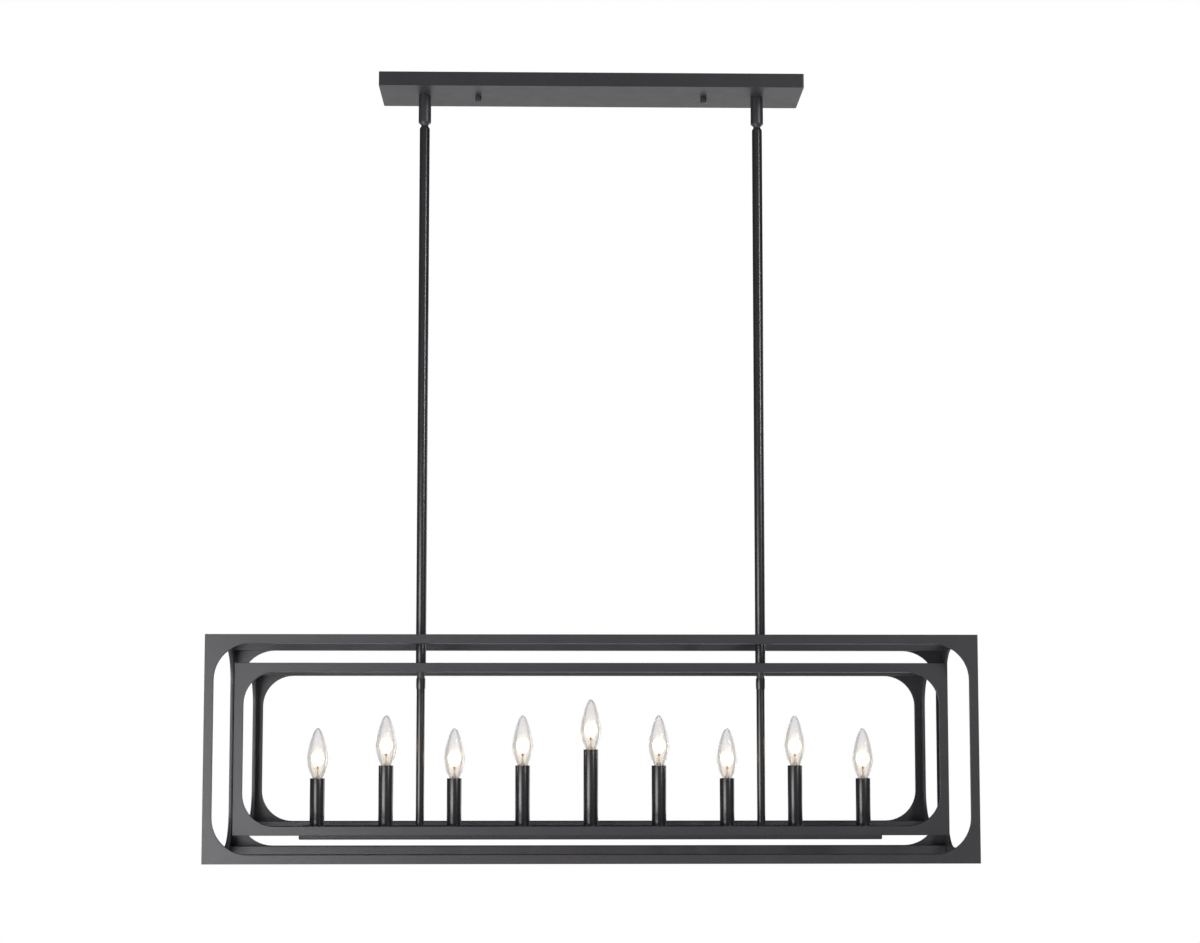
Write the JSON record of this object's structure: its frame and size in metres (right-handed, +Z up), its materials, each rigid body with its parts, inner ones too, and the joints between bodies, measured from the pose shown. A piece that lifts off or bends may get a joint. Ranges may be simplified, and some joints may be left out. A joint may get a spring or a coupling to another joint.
{
  "type": "linear island pendant",
  "caption": "Long open-cage pendant light: two nested rectangular frames hang on twin rods under a slim canopy, round a row of candle lights.",
  "frame": {"origin": "centre of the mounting bracket's upper face, on the ceiling", "axes": "+X along the canopy to the viewer's right, +Y from the front of the fixture to its back (the pictured side faces -Y), +Z up, so the fixture hangs below 0"},
  "size_m": [1.168, 0.305, 1.24],
  "materials": {
    "black_powder_coat": "matte black powder coat with a fine texture",
    "zinc_plated_steel": "zinc plated",
    "green_paint": "green ground screw",
    "black_socket_plastic": "moulded",
    "nickel_plated_brass": "nickel plated",
    "clear_glass": "clear"
  },
  "bodies": {
    "ceiling_mount": {"mounting_bracket": "zinc_plated_steel", "ground_screw": "green_paint", "canopy_studs": "zinc_plated_steel", "canopy": "black_powder_coat", "swivel_spigots": "zinc_plated_steel", "swivel_lock_nuts": "zinc_plated_steel", "swivel_collar_left": "black_powder_coat", "swivel_collar_right": "black_powder_coat"},
    "knob_left": {"canopy_knob_left": "black_powder_coat"},
    "knob_right": {"canopy_knob_right": "black_powder_coat"},
    "hanging_frame": {"rod_nipples": "black_powder_coat", "strap_nuts": "black_powder_coat", "tray_screws": "zinc_plated_steel", "candle_tray": "black_powder_coat", "tray_cover": "black_powder_coat", "socket_risers": "zinc_plated_steel", "lamp_sockets": "black_socket_plastic", "candle_sleeves_low": "black_powder_coat", "candle_sleeves_mid": "black_powder_coat", "candle_sleeves_high": "black_powder_coat", "swivel_ball_left": "black_powder_coat", "rod_left": "black_powder_coat", "spacer_tube_left": "black_powder_coat", "stem_coupling_left": "black_powder_coat", "lower_stem_left": "black_powder_coat", "outer_top_strap_left": "black_powder_coat", "inner_top_strap_left": "black_powder_coat", "swivel_ball_right": "black_powder_coat", "rod_right": "black_powder_coat", "spacer_tube_right": "black_powder_coat", "stem_coupling_right": "black_powder_coat", "lower_stem_right": "black_powder_coat", "outer_top_strap_right": "black_powder_coat", "inner_top_strap_right": "black_powder_coat", "outer_front_frame": "black_powder_coat", "outer_back_frame": "black_powder_coat", "outer_left_frame": "black_powder_coat", "outer_right_frame": "black_powder_coat", "inner_front_frame": "black_powder_coat", "inner_back_frame": "black_powder_coat", "inner_left_frame": "black_powder_coat", "inner_right_frame": "black_powder_coat"},
    "bulb_1": {"bulb_base_1": "nickel_plated_brass", "bulb_glass_1": "clear_glass"},
    "bulb_2": {"bulb_base_2": "nickel_plated_brass", "bulb_glass_2": "clear_glass"},
    "bulb_3": {"bulb_base_3": "nickel_plated_brass", "bulb_glass_3": "clear_glass"},
    "bulb_4": {"bulb_base_4": "nickel_plated_brass", "bulb_glass_4": "clear_glass"},
    "bulb_5": {"bulb_base_5": "nickel_plated_brass", "bulb_glass_5": "clear_glass"},
    "bulb_6": {"bulb_base_6": "nickel_plated_brass", "bulb_glass_6": "clear_glass"},
    "bulb_7": {"bulb_base_7": "nickel_plated_brass", "bulb_glass_7": "clear_glass"},
    "bulb_8": {"bulb_base_8": "nickel_plated_brass", "bulb_glass_8": "clear_glass"},
    "bulb_9": {"bulb_base_9": "nickel_plated_brass", "bulb_glass_9": "clear_glass"}
  },
  "joints": [
    {"name": "swing", "type": "hinge", "parent": "ceiling_mount", "child": "hanging_frame", "pos_m": [0, 0, -0.064], "axis": [1, 0, 0], "range_deg": [-20, 20]},
    {"name": "unscrew_knob_left", "type": "hinge", "parent": "ceiling_mount", "child": "knob_left", "pos_m": [-0.1815, 0, -0.0224], "axis": [0, 0, -1], "range_deg": [0, 3600]},
    {"name": "unscrew_knob_right", "type": "hinge", "parent": "ceiling_mount", "child": "knob_right", "pos_m": [0.1815, 0, -0.0224], "axis": [0, 0, -1], "range_deg": [0, 3600]},
    {"name": "unscrew_bulb_1", "type": "hinge", "parent": "hanging_frame", "child": "bulb_1", "pos_m": [-0.428, 0, -1.119], "axis": [0, 0, 1], "range_deg": [0, 1800]},
    {"name": "unscrew_bulb_2", "type": "hinge", "parent": "hanging_frame", "child": "bulb_2", "pos_m": [-0.321, 0, -1.099], "axis": [0, 0, 1], "range_deg": [0, 1800]},
    {"name": "unscrew_bulb_3", "type": "hinge", "parent": "hanging_frame", "child": "bulb_3", "pos_m": [-0.214, 0, -1.119], "axis": [0, 0, 1], "range_deg": [0, 1800]},
    {"name": "unscrew_bulb_4", "type": "hinge", "parent": "hanging_frame", "child": "bulb_4", "pos_m": [-0.107, 0, -1.099], "axis": [0, 0, 1], "range_deg": [0, 1800]},
    {"name": "unscrew_bulb_5", "type": "hinge", "parent": "hanging_frame", "child": "bulb_5", "pos_m": [0, 0, -1.074], "axis": [0, 0, 1], "range_deg": [0, 1800]},
    {"name": "unscrew_bulb_6", "type": "hinge", "parent": "hanging_frame", "child": "bulb_6", "pos_m": [0.107, 0, -1.099], "axis": [0, 0, 1], "range_deg": [0, 1800]},
    {"name": "unscrew_bulb_7", "type": "hinge", "parent": "hanging_frame", "child": "bulb_7", "pos_m": [0.214, 0, -1.119], "axis": [0, 0, 1], "range_deg": [0, 1800]},
    {"name": "unscrew_bulb_8", "type": "hinge", "parent": "hanging_frame", "child": "bulb_8", "pos_m": [0.321, 0, -1.099], "axis": [0, 0, 1], "range_deg": [0, 1800]},
    {"name": "unscrew_bulb_9", "type": "hinge", "parent": "hanging_frame", "child": "bulb_9", "pos_m": [0.428, 0, -1.119], "axis": [0, 0, 1], "range_deg": [0, 1800]}
  ]
}
